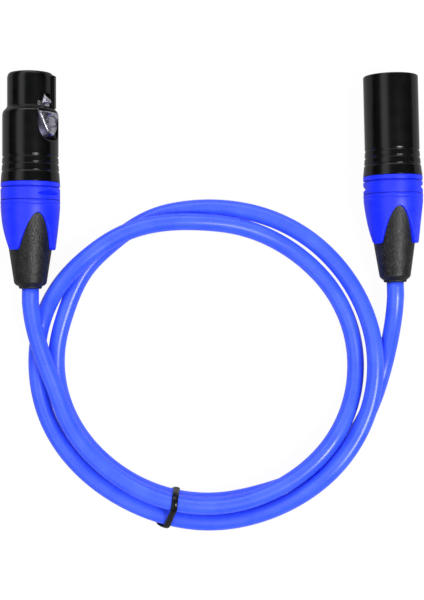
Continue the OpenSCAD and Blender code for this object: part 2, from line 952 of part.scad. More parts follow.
module cable_tie() {
  along = [-sin(tie_angle), cos(tie_angle), 0];
  color([0.05, 0.05, 0.05])
    closed_tube([for (f = [0 : 15 : 345]) tie_point(f)], tie_w / 2, 8, along, tie_t / tie_w);
}

// Least gap of the cable to itself, measured between points more than three diameters apart
checked = concat(
  [for (i = [0 : len(lead_female_route) - 3]) lead_female_route[i]],
  [for (a = [first_angle : 5 : last_angle]) route(a)],
  [for (i = [len(lead_male_route) - 3 : -1 : 0]) lead_male_route[i]]
);
gap = min([
  for (i = [0 : len(checked) - 5], j = [i + 4 : len(checked) - 1])
    norm(checked[i] - checked[j])
]) - cable_d;
echo(least_gap_of_cable = gap);

female_housing();
female_nose_shell();
female_insert();
female_contact_1();
female_contact_2();
female_contact_3();
latch_lever();
latch_pin();
latch_spring();
female_ground_clip();
female_chuck();
female_coding_ring();
female_boot_collar();
female_boot_tail();
female_cable_end();
female_core_red();
female_core_white();
female_shield_tail();
male_housing();
male_insert();
pin_contact_1();
pin_contact_2();
pin_contact_3();
male_ground_clip();
male_chuck();
male_coding_ring();
male_boot_collar();
male_boot_tail();
male_cable_end();
male_core_red();
male_core_white();
male_shield_tail();
cable_lead_female();
cable_coil();
cable_lead_male();
cable_tie();
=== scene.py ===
"""A coiled microphone cable with a latching female and a male connector, dressed over its frame."""
import math

import bmesh
import bpy
from mathutils import Matrix, Vector


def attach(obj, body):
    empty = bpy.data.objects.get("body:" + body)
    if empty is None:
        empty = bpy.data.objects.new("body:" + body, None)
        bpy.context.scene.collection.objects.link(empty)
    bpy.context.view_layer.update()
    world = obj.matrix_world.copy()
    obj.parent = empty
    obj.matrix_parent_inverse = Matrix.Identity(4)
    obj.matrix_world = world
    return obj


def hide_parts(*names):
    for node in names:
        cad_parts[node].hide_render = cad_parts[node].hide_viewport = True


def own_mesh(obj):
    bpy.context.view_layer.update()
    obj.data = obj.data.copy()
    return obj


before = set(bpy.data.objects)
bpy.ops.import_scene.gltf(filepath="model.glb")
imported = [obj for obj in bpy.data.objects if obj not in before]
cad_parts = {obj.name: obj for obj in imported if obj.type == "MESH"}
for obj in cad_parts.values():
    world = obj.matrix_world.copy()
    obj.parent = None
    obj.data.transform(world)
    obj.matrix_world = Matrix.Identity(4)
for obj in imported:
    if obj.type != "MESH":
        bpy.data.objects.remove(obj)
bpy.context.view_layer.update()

MM = 0.001
scene = bpy.context.scene


# ---- the shop's measures, in millimetres ----

CABLE_D = 6.0
TIE_W, TIE_T, TIE_GAP = 2.2, 1.1, 0.15
TIE_SNUG = 0.17        # how much closer than that the rubber lies
SEAM_R = 10.4          # collar, and both shells at their seam
BOOT_LEN = 37.1
LATCH_ANGLE = 58.0     # from straight up, towards the male connector
RIB_ANGLE = 23.0       # from the middle of the latch
HOOK_X = -1.2          # the hook's middle, beside the middle of the latch
MALE_LEAN = 1.35
TAB_HALF, TAB_FRONT, TAB_LEN = 5.3, 24.2, 8.2
TAB_BACK = TAB_FRONT - TAB_LEN

FEMALE = Matrix.Translation((-63.55, -0.65, SEAM_R))
KEYED = FEMALE @ Matrix.Rotation(math.radians(LATCH_ANGLE), 4, "Y")
MALE = Matrix.Translation((63.55, 1.65, SEAM_R)) @ Matrix.Rotation(math.radians(MALE_LEAN), 4, "Z")


def smooth(t):
    t = min(max(t, 0.0), 1.0)
    return t * t * (3 - 2 * t)


def steps(low, high, count):
    return [low + (high - low) * k / count for k in range(count + 1)]


def unit(degrees):
    return math.cos(math.radians(degrees)), math.sin(math.radians(degrees))


# ---- camera ----

CAMERA_AT = (0.00015, -0.04167, 0.470)
FOCAL_PX, HALF_HEIGHT_PX = 1310, 300


def stand_camera():
    lens = bpy.data.cameras.new("camera")
    lens.sensor_fit = "VERTICAL"
    lens.sensor_height = 24
    lens.lens = lens.sensor_height / 2 * FOCAL_PX / HALF_HEIGHT_PX
    camera = bpy.data.objects.new("camera", lens)
    camera.location = CAMERA_AT
    scene.collection.objects.link(camera)
    scene.camera = camera


stand_camera()


# ---- shader writing ----

def operator(operation, swapped=False):
    """A method that puts its value, and any other, through a Math node."""
    def method(self, *other):
        return self.math(operation, *other, self) if swapped else self.math(operation, self, *other)
    return method


class Value:
    """A socket of a shader tree; sums and products of it add their Math nodes."""

    def __init__(self, sheet, socket):
        self.sheet, self.socket = sheet, socket

    def math(self, operation, *values):
        return self.sheet.node("ShaderNodeMath", {"operation": operation}, *values)

    __add__, __radd__ = operator("ADD"), operator("ADD", True)
    __sub__, __rsub__ = operator("SUBTRACT"), operator("SUBTRACT", True)
    __mul__, __rmul__ = operator("MULTIPLY"), operator("MULTIPLY", True)
    __truediv__, __abs__ = operator("DIVIDE"), operator("ABSOLUTE")
    sine, cosine = operator("SINE"), operator("COSINE")

    def over(self, low, high):
        """0 below low, 1 above high, eased between."""
        return self.sheet.node("ShaderNodeMapRange", {"interpolation_type": "SMOOTHSTEP"}, self, low, high)


class Sheet:
    """One node tree, written by expressions."""

    def __init__(self, tree):
        self.tree = tree
        tree.nodes.clear()

    def fill(self, socket, value):
        if isinstance(value, Value):
            self.tree.links.new(value.socket, socket)
        elif isinstance(value, tuple) and socket.type == "RGBA":
            socket.default_value = (*value, 1.0)
        else:
            socket.default_value = value

    def node(self, kind, settings, *values, out=0, **named):
        made = self.tree.nodes.new(kind)
        for key, setting in settings.items():
            setattr(made, key, setting)
        slots = list(zip([s for s in made.inputs if s.enabled], values))
        slots += [(made.inputs[key.replace("_", " ")], value) for key, value in named.items()]
        for socket, value in slots:
            self.fill(socket, value)
        return Value(self, made.outputs[out]) if len(made.outputs) else None

    def object_point(self, place=None):
        """Object coordinates in millimetres, turned and centred on a connector's axis if one is given."""
        point = self.node("ShaderNodeTexCoord", {}, out="Object")
        if place is None:
            return self.node("ShaderNodeVectorMath", {"operation": "SCALE"}, point, Scale=1000.0)
        local = place.inverted()
        turn = local.to_euler("XYZ")
        return self.node("ShaderNodeMapping", {"vector_type": "POINT"}, point, tuple(local.translation),
                         (turn.x, turn.y, turn.z), (1000.0, 1000.0, 1000.0))

    def parts(self, vector):
        split = self.tree.nodes.new("ShaderNodeSeparateXYZ")
        self.tree.links.new(vector.socket, split.inputs[0])
        return [Value(self, socket) for socket in split.outputs]

    def joined(self, x, y, z):
        return self.node("ShaderNodeCombineXYZ", {}, x, y, z)

    def noise(self, point, scale, detail, rough):
        return self.node("ShaderNodeTexNoise", {"noise_dimensions": "3D"}, Vector=point, Scale=scale,
                         Detail=detail, Roughness=rough)

    def cells(self, point, scale):
        return self.node("ShaderNodeTexVoronoi", {"feature": "F1"}, Vector=point, Scale=scale)

    def mix(self, factor, first, second):
        made = self.tree.nodes.new("ShaderNodeMix")
        made.data_type = "RGBA"
        for index, value in ((0, factor), (6, first), (7, second)):
            self.fill(made.inputs[index], value)
        return Value(self, made.outputs[2])

    def bump(self, height, strength, depth_mm):
        return self.node("ShaderNodeBump", {}, Strength=strength, Distance=depth_mm * MM, Height=height)


def finish_of(name, paint):
    """A material whose surface is written by paint(sheet), which returns the shader's inputs."""
    material = bpy.data.materials.new(name)
    material.use_nodes = True
    sheet = Sheet(material.node_tree)
    sheet.node("ShaderNodeOutputMaterial", {}, sheet.node("ShaderNodeBsdfPrincipled", {}, **paint(sheet)))
    return material


# ---- finishes ----

def jacket_paint(point_of):
    """Extruded flexible PVC: faint draw lines along it, the lay of the cores just telling through."""
    def paint(s):
        along, round_it, point = point_of(s)
        cloud = s.noise(point, 0.10, 3.0, 0.55)
        grain = s.noise(point, 1.9, 3.0, 0.6)
        draw = s.noise(s.joined(along * 0.02, round_it * 26.0, 0.0), 1.0, 2.0, 0.5)
        lay = (along * (2 * math.pi / 46.0) + round_it * (2 * math.pi)).sine()
        colour = s.mix(cloud.over(0.35, 0.70), (0.034, 0.086, 0.90), (0.045, 0.106, 0.97))
        colour = s.mix(grain.over(0.60, 0.80) * 0.25, colour, (0.060, 0.130, 1.0))
        scuff = s.noise(s.joined(along * 0.35, round_it * 60.0, 3.0), 1.0, 4.0, 0.6).over(0.66, 0.78)
        rough = 0.24 + 0.08 * cloud + 0.10 * scuff
        height = draw * 0.35 + grain * 0.25 + lay * 0.5
        return {"Base Color": colour, "Roughness": rough, "Specular IOR Level": 0.45,
                "Normal": s.bump(height, 0.35, 0.05)}
    return paint


def along_uv(s):
    """The cable's own map: metres along it and turns round it."""
    u, v, _ = s.parts(s.node("ShaderNodeTexCoord", {}, out="UV"))
    along = u * 1000.0
    angle = v * (2 * math.pi)
    return along, v, s.joined(angle.cosine() * 3.0, angle.sine() * 3.0, along)


def along_axis(place):
    def read(s):
        point = s.object_point(place)
        x, y, z = s.parts(point)
        return y, x.math("ARCTAN2", x, z) / (2 * math.pi), point
    return read


def boot_paint(place):
    """Moulded blue plastic with a spark-eroded satin skin, and painted shade in the coding ring's groove and at
    its joint with the collar.
    """
    def paint(s):
        point = s.object_point(place)
        x, y, z = s.parts(point)
        skin = s.noise(point, 5.5, 4.0, 0.65)
        flow = s.noise(s.joined(x * 0.12, y * 0.35, z * 0.12), 1.0, 2.0, 0.5)
        colour = s.mix(flow.over(0.3, 0.7), (0.004, 0.018, 0.84), (0.008, 0.025, 0.92))
        colour = s.mix(skin.over(0.58, 0.75) * 0.30, colour, (0.022, 0.040, 0.98))
        # painted shade: dark bands in the coding ring's groove (y -1.77) and along its joint with the collar (y
        # -6.2)
        seam = 1.0 - abs(y + 1.77).over(0.12, 0.30) + (1.0 - abs(y + 6.2).over(0.06, 0.24))
        colour = s.mix(seam * 0.80, colour, (0.002, 0.004, 0.32))
        rough = 0.33 + 0.12 * skin
        return {"Base Color": colour, "Roughness": rough, "Specular IOR Level": 0.34,
                "Normal": s.bump(skin, 0.30, 0.05)}
    return paint


def tail_paint(place):
    """Black moulded rubber, finely pitted, greyed by handling."""
    def paint(s):
        point = s.object_point(place)
        pit = s.cells(point, 2.6).over(0.10, 0.55)
        grain = s.noise(point, 1.9, 5.0, 0.7)
        bloom = s.noise(point, 0.32, 3.0, 0.6)
        colour = s.mix(grain.over(0.35, 0.72), (0.002, 0.002, 0.002), (0.010, 0.010, 0.011))
        colour = s.mix(bloom.over(0.40, 0.75) * 0.40, colour, (0.022, 0.022, 0.023))
        fleck = s.noise(point, 1.5, 3.0, 0.7).over(0.55, 0.68)
        colour = s.mix(fleck * 0.38, colour, (0.100, 0.100, 0.102))
        rough = 0.33 + 0.12 * grain
        return {"Base Color": colour, "Roughness": rough, "Specular IOR Level": 0.42,
                "Normal": s.bump(grain * 0.7 + pit * 0.3, 0.75, 0.18)}
    return paint


def shell_paint(place):
    """Black coat over die-cast zinc: even satin gloss and a faint orange peel."""
    def paint(s):
        point = s.object_point(place)
        y = s.parts(point)[1]
        peel = s.noise(point, 1.6, 2.0, 0.5)
        speck = s.noise(point, 9.0, 2.0, 0.6)
        turning = s.noise(s.joined(0.0, y * 7.0, 0.0), 1.0, 2.0, 0.5)
        cloud = s.noise(point, 0.18, 2.0, 0.5)
        colour = s.mix(cloud.over(0.3, 0.7), (0.0018, 0.0020, 0.0020), (0.0034, 0.0034, 0.0036))
        colour = s.mix(speck.over(0.70, 0.78) * 0.5, colour, (0.016, 0.016, 0.016))
        rough = 0.13 + 0.06 * cloud + 0.05 * speck
        return {"Base Color": colour, "Roughness": rough,
                "Normal": s.bump(peel * 0.6 + turning * 0.4, 0.10, 0.05)}
    return paint


def latch_paint(s):
    """Bright nickel over a cast lever: soft dents and a slightly clouded polish, with painted shade round the
    thumb pad and under the tab's edge.
    """
    point = s.object_point(KEYED)
    dents = s.noise(point, 0.85, 3.0, 0.6)
    fine = s.noise(point, 4.0, 3.0, 0.6)
    mottle = s.noise(point, 1.5, 3.0, 0.7)
    colour = s.mix(mottle.over(0.36, 0.62), (0.34, 0.33, 0.44), (0.93, 0.92, 1.0))
    x, y, z = s.parts(point)
    # painted shade: a dark ring in the sunk groove round the thumb pad
    across, along = (x - 0.5) * (1 / 1.7), y - 20.9
    rim = abs(across * across + along * along - 3.4)
    pad_ring_shade = (1.0 - rim.over(0.35, 0.95)) * z.over(8.0, 8.6)
    # painted shade: the lever's sides below the tab's edge are darkened and dulled, as in the shadow of the tab
    pointed = (y - TAB_BACK) / TAB_LEN - x * x / TAB_HALF ** 2
    flank = (1.0 - pointed.over(-0.01, 0.03)) * (1.0 - y.over(25.0, 25.4))
    colour = s.mix(pad_ring_shade * 0.85, colour, (0.05, 0.05, 0.09))
    colour = s.mix(flank * 0.92, colour, (0.06, 0.06, 0.11))
    rough = 0.20 + 0.18 * fine.over(0.35, 0.75) + 0.15 * flank
    return {"Base Color": colour, "Metallic": 1.0, "Roughness": rough,
            "Normal": s.bump(dents * 0.8 + fine * 0.2, 0.14, 0.25)}


def grained_paint(place, dark, light, grain, rough, bump, cloud=None, stretch=None, span=(0.3, 0.7), **more):
    """A plain finish: clouds between two colours, and a grain that sets the gloss and the bump."""
    def paint(s):
        point = s.object_point(place)
        drawn = s.joined(*(c * by for c, by in zip(s.parts(point), stretch))) if stretch else point
        fine = s.noise(drawn, *grain)
        clouds = s.noise(point, *cloud) if cloud else fine
        return {"Base Color": s.mix(clouds.over(*span), dark, light), "Roughness": rough[0] + rough[1] * fine,
                "Normal": s.bump(fine, *bump), **more}
    return paint


cable_finish = finish_of("jacket_free", jacket_paint(along_uv))
tie_finish = finish_of("tie_rubber", grained_paint(
    None, (0.0020, 0.0020, 0.0020), (0.0060, 0.0058, 0.0056), (3.0, 3.0, 0.6), (0.20, 0.12), (0.18, 0.05),
    cloud=(0.6, 3.0, 0.6), span=(0.35, 0.7), Specular_IOR_Level=0.36))
latch_finish = finish_of("latch_nickel", latch_paint)
red_finish, white_finish = (
    finish_of(name, grained_paint(None, dark, light, (0.9, 3.0, 0.6), (0.34, 0.16), (0.2, 0.03)))
    for name, dark, light in (("core_red", (0.50, 0.015, 0.012), (0.72, 0.035, 0.025)),
                              ("core_white", (0.70, 0.70, 0.68), (0.86, 0.86, 0.84))))
copper_finish = finish_of("shield_copper", grained_paint(
    None, (0.62, 0.27, 0.14), (0.90, 0.50, 0.32), (1.4, 3.0, 0.6), (0.22, 0.2), (0.2, 0.03), Metallic=1.0))


def side_finishes(side, place):
    # black glass-filled plastic, gold over turned brass, drawn spring steel and natural acetal
    insert = grained_paint(place, (0.004, 0.004, 0.004), (0.012, 0.012, 0.013), (4.5, 4.0, 0.6), (0.46, 0.14),
                           (0.25, 0.05), span=(0.4, 0.7))
    contact = grained_paint(place, (0.88, 0.62, 0.24), (1.0, 0.76, 0.36), (1.0, 3.0, 0.6), (0.16, 0.16),
                            (0.15, 0.03), cloud=(0.8, 2.0, 0.5), stretch=(0.0, 9.0, 0.0), Metallic=1.0)
    steel = grained_paint(place, (0.42, 0.42, 0.44), (0.66, 0.66, 0.68), (1.0, 3.0, 0.6), (0.24, 0.18),
                          (0.15, 0.02), stretch=(8.0, 0.6, 8.0), Metallic=1.0)
    chuck = grained_paint(place, (0.66, 0.65, 0.60), (0.80, 0.79, 0.75), (4.0, 3.0, 0.5), (0.34, 0.14),
                          (0.15, 0.03), cloud=(0.5, 3.0, 0.5))
    return {slot: finish_of(f"{side}_{name}", paint) for slot, name, paint in (
        ("shell", "shell_coat", shell_paint(place)), ("insert", "insert_plastic", insert),
        ("contact", "contact_gold", contact), ("steel", "steel", steel), ("chuck", "chuck_acetal", chuck),
        ("boot", "boot_plastic", boot_paint(place)), ("tail", "tail_rubber", tail_paint(place)),
        ("jacket", "jacket", jacket_paint(along_axis(place))),
    )}


SIDES = {"female": side_finishes("female", FEMALE), "male": side_finishes("male", MALE)}


# ---- making meshes ----

def sharpen(piece, degrees):
    """Creases where the surface turns by more than the given angle."""
    work = bmesh.new()
    work.from_mesh(piece.data)
    for edge in work.edges:
        edge.smooth = len(edge.link_faces) == 2 and edge.calc_face_angle(0.0) < math.radians(degrees)
    work.to_mesh(piece.data)
    work.free()


def make(name, shells, finish, place=Matrix(), crease=None):
    """One object at the origin from shells of (points in mm, faces) at a place, with its normals outwards."""
    points, faces = [], []
    for shell_points, shell_faces in shells:
        start = len(points)
        points += [tuple(c * MM for c in place @ Vector(p)) for p in shell_points]
        faces += [tuple(start + i for i in face) for face in shell_faces]
    mesh = bpy.data.meshes.new(name)
    mesh.from_pydata(points, [], faces)
    work = bmesh.new()
    work.from_mesh(mesh)
    bmesh.ops.recalc_face_normals(work, faces=work.faces)
    work.to_mesh(mesh)
    work.free()
    for face in mesh.polygons:
        face.use_smooth = True
    mesh.materials.append(finish)
    made = bpy.data.objects.new(name, mesh)
    scene.collection.objects.link(made)
    if crease:
        sharpen(made, crease)
    return made


def filleted(corners, arc=4):
    """A closed outline of [r, y, fillet radius] corners with each corner rounded."""
    out = []
    for i, (r, y, size) in enumerate(corners):
        here = Vector((r, y))
        before = Vector(corners[i - 1][:2]) - here
        after = Vector(corners[(i + 1) % len(corners)][:2]) - here
        reach = min(size, before.length * 0.45, after.length * 0.45)
        if reach < 0.01:
            out.append((r, y))
            continue
        a, b = here + before.normalized() * reach, here + after.normalized() * reach
        for t in steps(0.0, 1.0, arc):
            p = a * (1 - t) ** 2 + here * (2 * t * (1 - t)) + b * t ** 2
            out.append((p.x, p.y))
    return out


def divided(outline, sizes):
    """The closed outline cut small; sizes are pairs of (y below which it holds, longest piece)."""
    out = []
    for i, p in enumerate(outline):
        q = outline[(i + 1) % len(outline)]
        out.append(p)
        size = next(size for top, size in sizes if (p[1] + q[1]) / 2 < top)
        parts = math.ceil(math.dist(p, q) / size)
        out += [(p[0] + (q[0] - p[0]) * k / parts, p[1] + (q[1] - p[1]) * k / parts) for k in range(1, parts)]
    return out


def quads(rows, count, ring=False, round_it=True):
    """Faces between neighbours in rows of count points, from the last row to the first too if it is a ring."""
    faces = []
    for j in range(rows if ring else rows - 1):
        k = (j + 1) % rows
        for i in range(count if round_it else count - 1):
            h = (i + 1) % count
            faces.append((j * count + i, j * count + h, k * count + h, k * count + i))
    return faces


def lofted(rows, folded=False):
    """A closed shell through rows of points, with one face on each end, or strips across it if folded."""
    n = len(rows[0])
    faces = []
    for base in (0, (len(rows) - 1) * n):
        if folded:
            faces += [(base + i, base + i + 1, base + n - 2 - i, base + n - 1 - i) for i in range(n // 2 - 1)]
        else:
            faces.append(tuple(range(base, base + n)))
    return [p for row in rows for p in row], faces + quads(len(rows), n)


def turned(outline, angles, shape=None):
    """A closed outline turned about the axis at the angles, or at so many even ones; shape may move a point."""
    if isinstance(angles, int):
        angles = [k * 360 / angles for k in range(angles)]
    points = []
    for a in angles:
        c, s = unit(a)
        for r, y in outline:
            if shape:
                r, y = shape(a, r, y)
            points.append((r * s, y, r * c))
    return points, quads(len(angles), len(outline), ring=True)


def swept(path, radius, sides, closed=False, up=Vector((0, 0, 1)), flat=1.0):
    """A tube along a path, round or flattened square to the up direction."""
    rows = []
    n = len(path)
    for i, p in enumerate(path):
        if closed:
            t = path[(i + 1) % n] - path[i - 1]
        else:
            t = path[min(i + 1, n - 1)] - path[max(i - 1, 0)]
        t.normalize()
        side = t.cross(up).normalized()
        over = side.cross(t)
        turns = [2 * math.pi * k / sides for k in range(sides)]
        rows.append([tuple(p + radius * (flat * math.cos(a) * side + math.sin(a) * over)) for a in turns])
    if closed:
        return [p for row in rows for p in row], quads(n, sides, ring=True)
    return lofted(rows)


def lengths_along(points):
    """How far along their line each of the points lies."""
    run = [0.0]
    for p, q in zip(points, points[1:]):
        run.append(run[-1] + (q - p).length)
    return run


def round_curve(points, spacing):
    """A smooth curve through the points, cut at even spacing."""
    chain = [2 * points[0] - points[1]] + points + [2 * points[-1] - points[-2]]
    dense = []
    for i in range(1, len(chain) - 2):
        four = chain[i - 1:i + 3]
        knots = [0.0]
        for p, q in zip(four, four[1:]):
            knots.append(knots[-1] + (q - p).length ** 0.5)
        for k in range(16):
            t = knots[1] + (knots[2] - knots[1]) * k / 16
            blend = four
            for spans in (((0, 1), (1, 2), (2, 3)), ((0, 2), (1, 3)), ((1, 2),)):
                blend = [
                    blend[n] * ((knots[b] - t) / (knots[b] - knots[a]))
                    + blend[n + 1] * ((t - knots[a]) / (knots[b] - knots[a]))
                    for n, (a, b) in enumerate(spans)
                ]
            dense.append(blend[0])
    dense.append(points[-1])
    run = lengths_along(dense)
    count = round(run[-1] / spacing)
    out, i = [], 0
    for k in range(count):
        want = run[-1] * k / count
        while run[i + 1] < want:
            i += 1
        out.append(dense[i].lerp(dense[i + 1], (want - run[i]) / (run[i + 1] - run[i])))
    return out + [points[-1]]


# ---- the free cable: its route is the coil's, turn by turn ----

COIL_AT = Vector((-2.0, -64.75, 0.0))
FIRST_ANGLE, LAST_ANGLE = 195, 1065
LANES = [
    (195, -4.1), (228, -4.7), (275, -3.6), (315, -4.2), (360, -3.8), (400, -3.8), (445, -2.7),
    (490, 1.0), (525, 3.4), (550, 3.0), (597, 1.9), (640, 3.1), (675, 2.3), (725, 2.5), (780, 3.4),
    (825, 2.8), (855, -0.4), (884, -3.6), (950, -5.1), (1005, -4.4), (1075, 3.9),
]
LAYERS = [
    (195, 1), (322, 1), (362, 0), (405, 0), (470, 1), (500, 1), (529, 0),
    (640, 0), (684, 1), (722, 1), (760, 0), (1065, 0),
]
TIE_ANGLE = 256.5
FEMALE_LEAD = [(-63.1, -48.0, 10.4), (-61.6, -54.0, 10.4), (-59.8, -60.0, 10.1), (-57.6, -66.3, 9.8)]
MALE_LEAD = [(64.4, -45.0, 9.8), (63.9, -50.0, 8.4), (63.2, -55.5, 6.3), (62.2, -61.5, 4.4), (60.8, -67.5, 3.3)]


def eased(stations, angle):
    for (a, low), (b, high) in zip(stations, stations[1:]):
        if angle < b:
            return low + (high - low) * smooth((angle - a) / (b - a))
    return stations[-1][1]


def route_r(angle):
    return 55.2 + 2.1 * math.cos(math.radians(2 * angle)) + eased(LANES, angle)


def route_z(angle):
    off_tie = abs((angle - TIE_ANGLE + 180) % 360 - 180)
    return CABLE_D / 2 + 6.5 * eased(LAYERS, angle) + (TIE_T + TIE_GAP) * smooth(1 - off_tie / 40)


def route(angle):
    r, a = route_r(angle), math.radians(angle)
    return COIL_AT + Vector((r * math.cos(a), r * math.sin(a), route_z(angle)))


def heading(angle):
    return (route(angle + 0.5) - route(angle - 0.5)).normalized()


female_mouth = FEMALE @ Vector((0, -BOOT_LEN, 0))
male_mouth = MALE @ Vector((0, -BOOT_LEN, 0))
female_exit = Vector((0, -1, 0))
male_exit = (MALE.to_3x3() @ Vector((0, -1, 0))).normalized()


def cable_route():
    turns = [route(a) for a in range(FIRST_ANGLE, LAST_ANGLE + 1, 5)]
    points = [female_mouth, female_mouth + 2.5 * female_exit, female_mouth + 5 * female_exit]
    points += [Vector(p) for p in FEMALE_LEAD] + [route(FIRST_ANGLE) - 6 * heading(FIRST_ANGLE)] + turns
    points += [route(LAST_ANGLE) + 6 * heading(LAST_ANGLE)] + [Vector(p) for p in reversed(MALE_LEAD)]
    points += [male_mouth + 5 * male_exit, male_mouth + 2.5 * male_exit, male_mouth]
    path = round_curve(points, 1.6)
    for _ in range(12):
        path = path[:4] + [
            (path[i - 1] + 2 * path[i] + path[i + 1]) / 4 for i in range(4, len(path) - 4)
        ] + path[-4:]
    return path


def map_along(piece, path, sides):
    """Writes metres along and turns round into the piece's own map."""
    run = [length * MM for length in lengths_along(path)]
    layer = piece.data.uv_layers.new(name="along")
    for face in piece.data.polygons:
        ring = [piece.data.loops[i].vertex_index for i in face.loop_indices]
        wraps = {v % sides for v in ring} == {0, sides - 1}
        for loop, v in zip(face.loop_indices, ring):
            turn = v % sides
            layer.data[loop].uv = (run[v // sides], (sides if wraps and turn == 0 else turn) / sides)


path = cable_route()
CABLE_SIDES = 28
free_cable = make("free_cable", [swept(path, CABLE_D / 2, CABLE_SIDES)], cable_finish)
map_along(free_cable, path, CABLE_SIDES)


# ---- the tie about the three strands ----

# How far the tie leans to the left on top of the strands, from their inner side (0) to the outer one (1)
TIE_LEAN = [(0.0, -0.10), (0.05, -0.17), (0.40, -0.84), (0.65, -0.62), (0.95, 0.14), (1.0, 0.60)]


def tie_lean(f, across):
    if f >= 180:
        return 0.87 + 3 * smooth((f - 180) / 120) * smooth((370 - f) / 60) - 1.22 * smooth((360 - f) / 120)
    for (a, low), (b, high) in zip(TIE_LEAN, TIE_LEAN[1:]):
        if across <= b:
            return low + (high - low) * max(0.0, across - a) / (b - a)
    return TIE_LEAN[-1][1]


def tie_route():
    strands = [(route_r(TIE_ANGLE + 360 * k), route_z(TIE_ANGLE + 360 * k)) for k in range(3)]
    out = unit(TIE_ANGLE)
    reach = CABLE_D / 2 + TIE_GAP + TIE_T / 2 - TIE_SNUG
    inner, outer = min(r for r, _ in strands) - reach, max(r for r, _ in strands) + reach
    loop = []
    for f in range(0, 360, 3):
        d = unit(f)
        r, z = max(strands, key=lambda p: p[0] * d[0] + p[1] * d[1])
        r, z = r + reach * d[0], z + reach * d[1]
        lean = tie_lean(f, (r - inner) / (outer - inner))
        loop.append(Vector((COIL_AT.x + r * out[0] + lean * out[1], COIL_AT.y + r * out[1] - lean * out[0], z)))
    fine = []
    for p, q in zip(loop, loop[1:] + loop[:1]):
        parts = math.ceil((q - p).length / 0.5)
        fine += [p.lerp(q, k / parts) for k in range(parts)]
    for _ in range(8):
        fine = [(fine[i - 1] + 2 * fine[i] + fine[(i + 1) % len(fine)]) / 4 for i in range(len(fine))]
    return fine


tie_up = Vector((*unit(TIE_ANGLE + 90), 0))
tie_shell = swept(tie_route(), TIE_W / 2, 24, closed=True, up=tie_up, flat=0.92 * TIE_T / TIE_W)
coil_tie = make("coil_tie", [tie_shell], tie_finish)
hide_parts("cable_lead_female", "cable_coil", "cable_lead_male")
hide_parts("cable_tie")
for piece, slot in ((free_cable, "jacket"), (coil_tie, "tie")):
    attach(piece, "root")


# ---- shells ----

def back_radius(body_r, y):
    return body_r + (SEAM_R - 0.05 - body_r) * max(0.0, 1 - y / 9.0) ** 1.45


GROOVES, GROOVE_HALF, GROOVE_DEPTH = (8.9, 6.4, 3.9), 0.36, 0.24
GROOVED_TO = 10        # all grooves lie behind this y


def groove(y):
    """How deep the three turned grooves about a shell's back are at y."""
    near = min(abs(y - at) for at in GROOVES) / GROOVE_HALF
    return GROOVE_DEPTH * max(0.0, 1 - near ** 2) ** 0.5


POCKET_FRONT, POCKET_HALF, POCKET_LEN = 24.6, 5.7, 10.2
HINGE_Y, HINGE_Z, HINGE_R = 16.6, 6.9, 0.63
# the windows of the crossbar and of the hook: middle, half width and both ends along the axis
BAR_WINDOW = (-1.25, 3.15, 26.0, 28.3)
HOOK_WINDOW = (HOOK_X, 2.2, 26.3, 30.8)
WINDOW_FLOOR, CUT_TOP = 5.6, 11.0
SHELL_CREASE = 48


def pocket_distance(x, y):
    """How far a point lies outside the latch's pocket."""
    p, q = abs(x), max(POCKET_FRONT - y, 0.0)
    s = ((p / POCKET_HALF) ** 3 + (q / POCKET_LEN) ** 3) ** (1 / 3)
    flat = math.hypot(p, q) * (1 - 1 / s) if s > 1 else 0.0
    return math.hypot(flat, max(y - POCKET_FRONT, 0.0))


def box_distance(x, y, middle, half, low, high):
    return math.hypot(max(abs(x - middle) - half, 0.0), max(low - y, y - high, 0.0))


def lip(distance, width, depth):
    return depth * max(0.0, 1 - distance / width) ** 2


def off_turn(angle, middle):
    """The angle from a middle one, in radians between -pi and pi."""
    return math.radians((angle - middle + 180) % 360 - 180)


def female_shape(angle, r, y):
    if r <= 7.8 or y >= 38.0:
        return r, y
    if y < GROOVED_TO:
        r -= groove(y)
    phi = off_turn(angle, LATCH_ANGLE)
    if abs(phi) < 0.9:
        x = r * math.sin(phi)
        r -= lip(pocket_distance(x, y), 0.55, 0.30)
        r -= lip(box_distance(x, y, *BAR_WINDOW), 0.25, 0.10)
        r -= lip(box_distance(x, y, *HOOK_WINDOW), 0.25, 0.10)
    psi = off_turn(angle, LATCH_ANGLE + RIB_ANGLE)
    if abs(psi) < 0.3 and r < 8.6:
        inside = min(1.15 - abs(r * math.sin(psi)), 37.5 - y, y - 25.85)
        r += (9.0 / math.cos(psi) - r) * smooth(inside / 0.22)
    return r, y


def outline_of(kind):
    body_r = 9.8 if kind == "female" else 9.55
    back = [(back_radius(body_r, y), y, 0.0) for y in steps(0.35, 9.0, 24)]
    if kind == "female":
        front = [
            (9.80, 23.6, 1.0), (9.60, 24.75, 0.4), (8.42, 26.05, 0.25), (8.40, 26.3, 0.1), (8.11, 26.5, 0.12),
            (8.10, 36.9, 0.7), (7.86, 37.85, 0.5), (7.40, 38.32, 0.3), (7.15, 38.38, 0.08), (7.10, 38.3, 0.08),
            (7.10, 22.4, 0.0), (7.68, 22.4, 0.0),
        ]
    else:
        front = [
            (9.55, 34.8, 0.35), (9.27, 35.1, 0.12), (8.6, 35.1, 0.15), (8.25, 34.7, 0.2), (8.25, 20.8, 0.0),
            (7.10, 20.8, 0.0), (7.10, 18.8, 0.0), (7.68, 18.8, 0.0),
        ]
    seam = [(7.68, 0.0, 0.0), (SEAM_R - 0.30, 0.0, 0.10), (SEAM_R - 0.06, 0.18, 0.10)]
    return filleted(seam + back + front)


def fan(fine, coarse, spans):
    """Angles round the axis: fine inside the spans of (low, high) degrees, coarse elsewhere."""
    out, a = [], 0.0
    while a < 360 - coarse * 0.3:
        out.append(a)
        a += fine if any(low <= a < high for low, high in spans) else coarse
    return out


def slab(middle, half, y0, y1):
    """A block for cutting a window, in the latch's frame."""
    corners = [(middle - half, y0), (middle + half, y0), (middle + half, y1), (middle - half, y1)]
    return lofted([[(x, y, z) for x, y in corners] for z in (WINDOW_FLOOR, CUT_TOP)])


